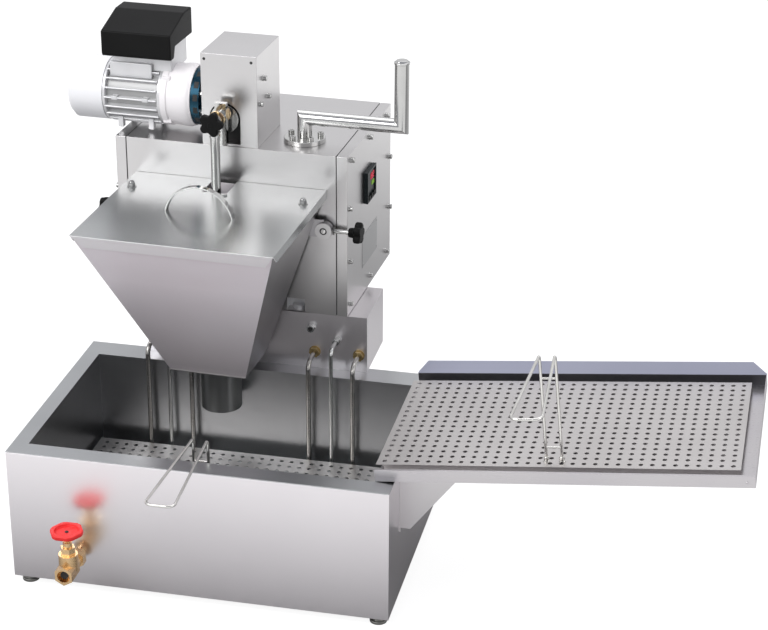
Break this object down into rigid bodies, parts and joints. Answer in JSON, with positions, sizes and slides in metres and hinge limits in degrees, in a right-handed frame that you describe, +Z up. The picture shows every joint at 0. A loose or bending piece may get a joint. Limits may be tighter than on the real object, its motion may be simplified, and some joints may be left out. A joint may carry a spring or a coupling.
{
  "type": "donut fryer",
  "caption": "Tabletop donut fryer: an oil tank with a perforated strainer, a swivelling motor-driven dough depositor with a hopper above it, and a sloping drain tray at its side",
  "frame": {"origin": "under the middle of the whole fryer's bounding box, at the level that the feet stand on", "axes": "+X to the user's right along the tank and tray, +Y away from the user to the back, +Z up"},
  "size_m": [1.5403, 1.1134, 1.0641],
  "materials": {
    "casing_steel": "brushed stainless sheet",
    "basin_steel": "satin stainless sheet",
    "rubber_feet": "matte",
    "bracket_steel": "plain stainless sheet",
    "element_steel": "heat-darkened tube",
    "brass_fittings": "machined",
    "probe_steel": "bright tube",
    "handwheel_red": "red paint",
    "wire_steel": "polished wire",
    "perforated_steel": "perforated sheet",
    "tray_steel": "brushed sheet",
    "head_steel": "brushed stainless sheet",
    "bolt_steel": "plated",
    "polished_steel": "polished",
    "gearbox_blue": "blue paint",
    "motor_aluminium": "cast, bare",
    "cowl_paint": "pale paint",
    "copper_winding": "enamelled wire and laminations",
    "black_plastic": "moulded",
    "bronze": "bearing bronze",
    "plate_aluminium": "satin",
    "panel_plastic": "moulded",
    "hopper_steel": "brushed stainless sheet",
    "shaft_steel": "turned"
  },
  "bodies": {
    "tank": {"tank_casing": "casing_steel", "inner_tank": "basin_steel", "feet": "rubber_feet", "heater_box": "casing_steel", "rear_bracket": "bracket_steel", "heating_element_left": "element_steel", "heating_element_right": "element_steel", "element_nuts": "brass_fittings", "probe_left": "probe_steel", "probe_right": "probe_steel", "glands": "probe_steel", "drain_pipe": "brass_fittings", "valve_body": "brass_fittings", "valve_bonnet": "brass_fittings", "tray_bracket": "bracket_steel", "swivel_column": "polished_steel"},
    "valve_wheel": {"valve_handwheel": "handwheel_red", "valve_stem": "brass_fittings"},
    "gate": {"valve_gate": "brass_fittings"},
    "strainer": {"tank_strainer": "perforated_steel", "strainer_handle": "wire_steel"},
    "tray": {"drain_tray": "tray_steel"},
    "plate": {"tray_plate": "perforated_steel", "tray_handle": "wire_steel"},
    "head": {"head_shell": "head_steel", "head_cover_left": "head_steel", "head_cover_right": "head_steel", "cover_bolts": "bolt_steel", "top_flange": "polished_steel", "flange_bolts": "bolt_steel", "swivel_handle": "polished_steel", "gear_cover": "head_steel", "gearbox_housing": "gearbox_blue", "motor_housing": "motor_aluminium", "motor_end_shield": "motor_aluminium", "fan_cowl": "cowl_paint", "motor_stator": "copper_winding", "terminal_box": "black_plastic", "swivel_bushes": "bronze", "temperature_controller": "black_plastic", "rating_plate": "plate_aluminium", "hopper_pins": "polished_steel", "electrical_panel": "panel_plastic", "hopper": "hopper_steel", "outlet_tube": "hopper_steel"},
    "lid": {"hopper_lid": "hopper_steel", "lid_handle": "polished_steel", "lid_nuts": "polished_steel"},
    "crank": {"crank_shaft": "shaft_steel", "ring_gear": "shaft_steel"},
    "rod": {"conrod": "polished_steel"},
    "knob": {"rod_knob": "black_plastic"},
    "rotor": {"motor_rotor": "shaft_steel", "cooling_fan": "black_plastic"},
    "piston": {"plunger": "polished_steel"},
    "clamp_left": {"clamp_screw_left": "black_plastic"},
    "clamp_right": {"clamp_screw_right": "black_plastic"},
    "key_a": {"key_left": "black_plastic"},
    "key_b": {"key_middle": "black_plastic"},
    "key_c": {"key_right": "black_plastic"}
  },
  "joints": [
    {"name": "head_swivel", "type": "hinge", "parent": "tank", "child": "head", "pos_m": [-0.25079, 0.25255, 0.4442], "axis": [0, 0, 1], "range_deg": [0, 46]},
    {"name": "valve_turn", "type": "hinge", "parent": "tank", "child": "valve_wheel", "pos_m": [-0.5852, -0.41465, 0.145], "axis": [0, 0, 1], "range_deg": [0, 2640]},
    {"name": "gate_lift", "type": "slide", "parent": "tank", "child": "gate", "axis": [0, 0, 1], "range_m": [0, 0.022]},
    {"name": "strainer_lift", "type": "slide", "parent": "tank", "child": "strainer", "axis": [0, 0, 1], "range_m": [0, 0.11]},
    {"name": "tray_lift", "type": "slide", "parent": "tank", "child": "tray", "axis": [0, 0, 1], "range_m": [0, 0.11]},
    {"name": "tray_plate_lift", "type": "slide", "parent": "tray", "child": "plate", "axis": [-0.1023, 0, 0.9948], "range_m": [0, 0.1]},
    {"name": "lid_lift", "type": "slide", "parent": "head", "child": "lid", "axis": [-0.0204, -0.4676, 0.8837], "range_m": [0, 0.055]},
    {"name": "crank_turn", "type": "hinge", "parent": "head", "child": "crank", "pos_m": [-0.40754, 0.17932, 0.8731], "axis": [0.0436, 0.999, 0], "continuous": true},
    {"name": "rod_pivot", "type": "hinge", "parent": "crank", "child": "rod", "pos_m": [-0.40754, 0.17932, 0.8891], "axis": [0.0436, 0.999, 0], "continuous": true},
    {"name": "knob_turn", "type": "hinge", "parent": "crank", "child": "knob", "pos_m": [-0.40754, 0.17932, 0.8891], "axis": [0.0436, 0.999, 0], "range_deg": [0, 720]},
    {"name": "rotor_turn", "type": "hinge", "parent": "head", "child": "rotor", "pos_m": [-0.68696, 0.2766, 0.8911], "axis": [0.999, -0.0436, 0], "continuous": true},
    {"name": "plunger_stroke", "type": "slide", "parent": "head", "child": "piston", "axis": [0, 0, 1], "range_m": [-0.032, 0]},
    {"name": "clamp_left_turn", "type": "hinge", "parent": "head", "child": "clamp_left", "pos_m": [-0.6091, 0.17661, 0.648], "axis": [-0.999, 0.0436, 0], "range_deg": [0, 720]},
    {"name": "clamp_right_turn", "type": "hinge", "parent": "head", "child": "clamp_right", "pos_m": [-0.186, 0.15813, 0.648], "axis": [0.999, -0.0436, 0], "range_deg": [0, 720]},
    {"name": "key_left_press", "type": "slide", "parent": "head", "child": "key_a", "axis": [-0.999, 0.0436, 0], "range_m": [0, 0.0008], "stiffness_N_per_m": 600},
    {"name": "key_middle_press", "type": "slide", "parent": "head", "child": "key_b", "axis": [-0.999, 0.0436, 0], "range_m": [0, 0.0008], "stiffness_N_per_m": 600},
    {"name": "key_right_press", "type": "slide", "parent": "head", "child": "key_c", "axis": [-0.999, 0.0436, 0], "range_m": [0, 0.0008], "stiffness_N_per_m": 600}
  ],
  "couplings": [
    {"joint": "gate_lift", "follows": "valve_turn", "m_per_rad": 0.00047746},
    {"joint": "rod_pivot", "follows": "crank_turn", "ratio": -1},
    {"joint": "rotor_turn", "follows": "crank_turn", "ratio": 40}
  ]
}
